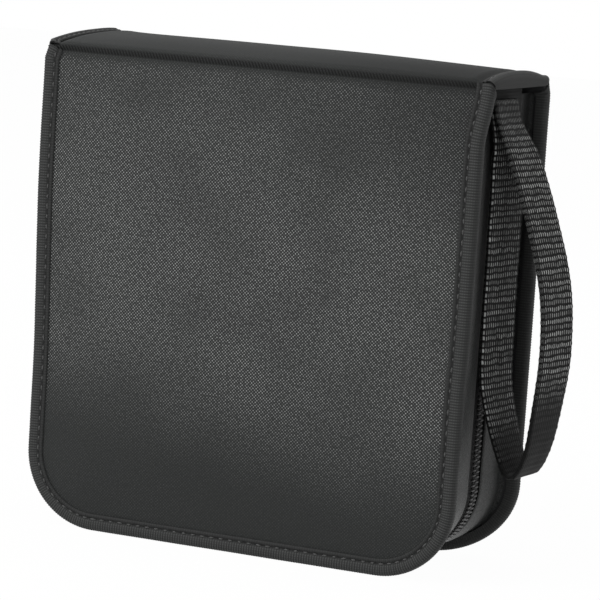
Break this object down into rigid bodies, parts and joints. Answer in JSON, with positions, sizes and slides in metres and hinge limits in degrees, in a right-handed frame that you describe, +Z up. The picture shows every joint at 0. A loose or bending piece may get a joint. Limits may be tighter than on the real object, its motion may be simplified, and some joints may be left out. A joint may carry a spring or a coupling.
{
  "type": "cd storage case",
  "caption": "Zipped padded wallet for discs: two hinged covers on a padded spine, zip round three sides, bound sleeves inside and a webbing wrist strap.",
  "frame": {"origin": "under the middle of the whole object's box, on the surface that the covers stand on", "axes": "+X along the spine towards the wrist strap, +Y from the front cover to the back cover, +Z up from the opening edge to the spine"},
  "size_m": [0.1806, 0.0582, 0.166],
  "materials": {
    "nylon": "matt black woven nylon with a fine light fleck",
    "binding_tape": "ribbed black binding tape, stitched",
    "grained_strip": "fine grained black coated cloth",
    "webbing": "black ribbed webbing with a slight sheen",
    "zip_tape": "woven black zip tape",
    "zip_coil": "black nylon coil",
    "slider_paint": "satin black paint",
    "board": "grey padded board, hidden",
    "lining": "thin black lining cloth",
    "sleeve": "clear film sleeves on black cloth backing"
  },
  "bodies": {
    "back_cover": {"back_cover_panel": "nylon", "back_cover_board": "board", "back_cover_lining": "lining", "back_cover_binding": "binding_tape", "back_gusset": "grained_strip", "back_zip_tape": "zip_tape", "back_zip_teeth": "zip_coil", "back_top_stop": "slider_paint", "zip_end_stop": "slider_paint"},
    "spine": {"spine_panel": "nylon", "spine_board": "board", "spine_lining": "lining", "spine_binding_left": "binding_tape", "spine_binding_right": "binding_tape", "end_tab_left": "grained_strip", "end_tab_right": "grained_strip", "disc_sleeves": "sleeve", "sleeve_strip": "lining", "wrist_strap": "webbing"},
    "front_cover": {"front_cover_panel": "nylon", "front_cover_board": "board", "front_cover_lining": "lining", "front_cover_binding": "binding_tape", "front_gusset": "grained_strip", "front_zip_tape": "zip_tape", "front_zip_teeth": "zip_coil", "front_top_stop": "slider_paint"},
    "slider": {"zip_slider": "slider_paint"},
    "pull": {"zip_pull": "slider_paint"}
  },
  "joints": [
    {"name": "back_fold", "type": "hinge", "parent": "back_cover", "child": "spine", "pos_m": [-0.01035, 0.0275, 0.162], "axis": [-1, 0, 0], "range_deg": [0, 120]},
    {"name": "front_fold", "type": "hinge", "parent": "spine", "child": "front_cover", "pos_m": [-0.01035, -0.0275, 0.162], "axis": [-1, 0, 0], "range_deg": [0, 120]},
    {"name": "zip_slide", "type": "slide", "parent": "back_cover", "child": "slider", "axis": [0, 0, -1], "range_m": [0, 0.112]},
    {"name": "pull_swing", "type": "hinge", "parent": "slider", "child": "pull", "pos_m": [-0.0867, 0, 0.148], "axis": [0, 1, 0], "range_deg": [0, 150]}
  ]
}
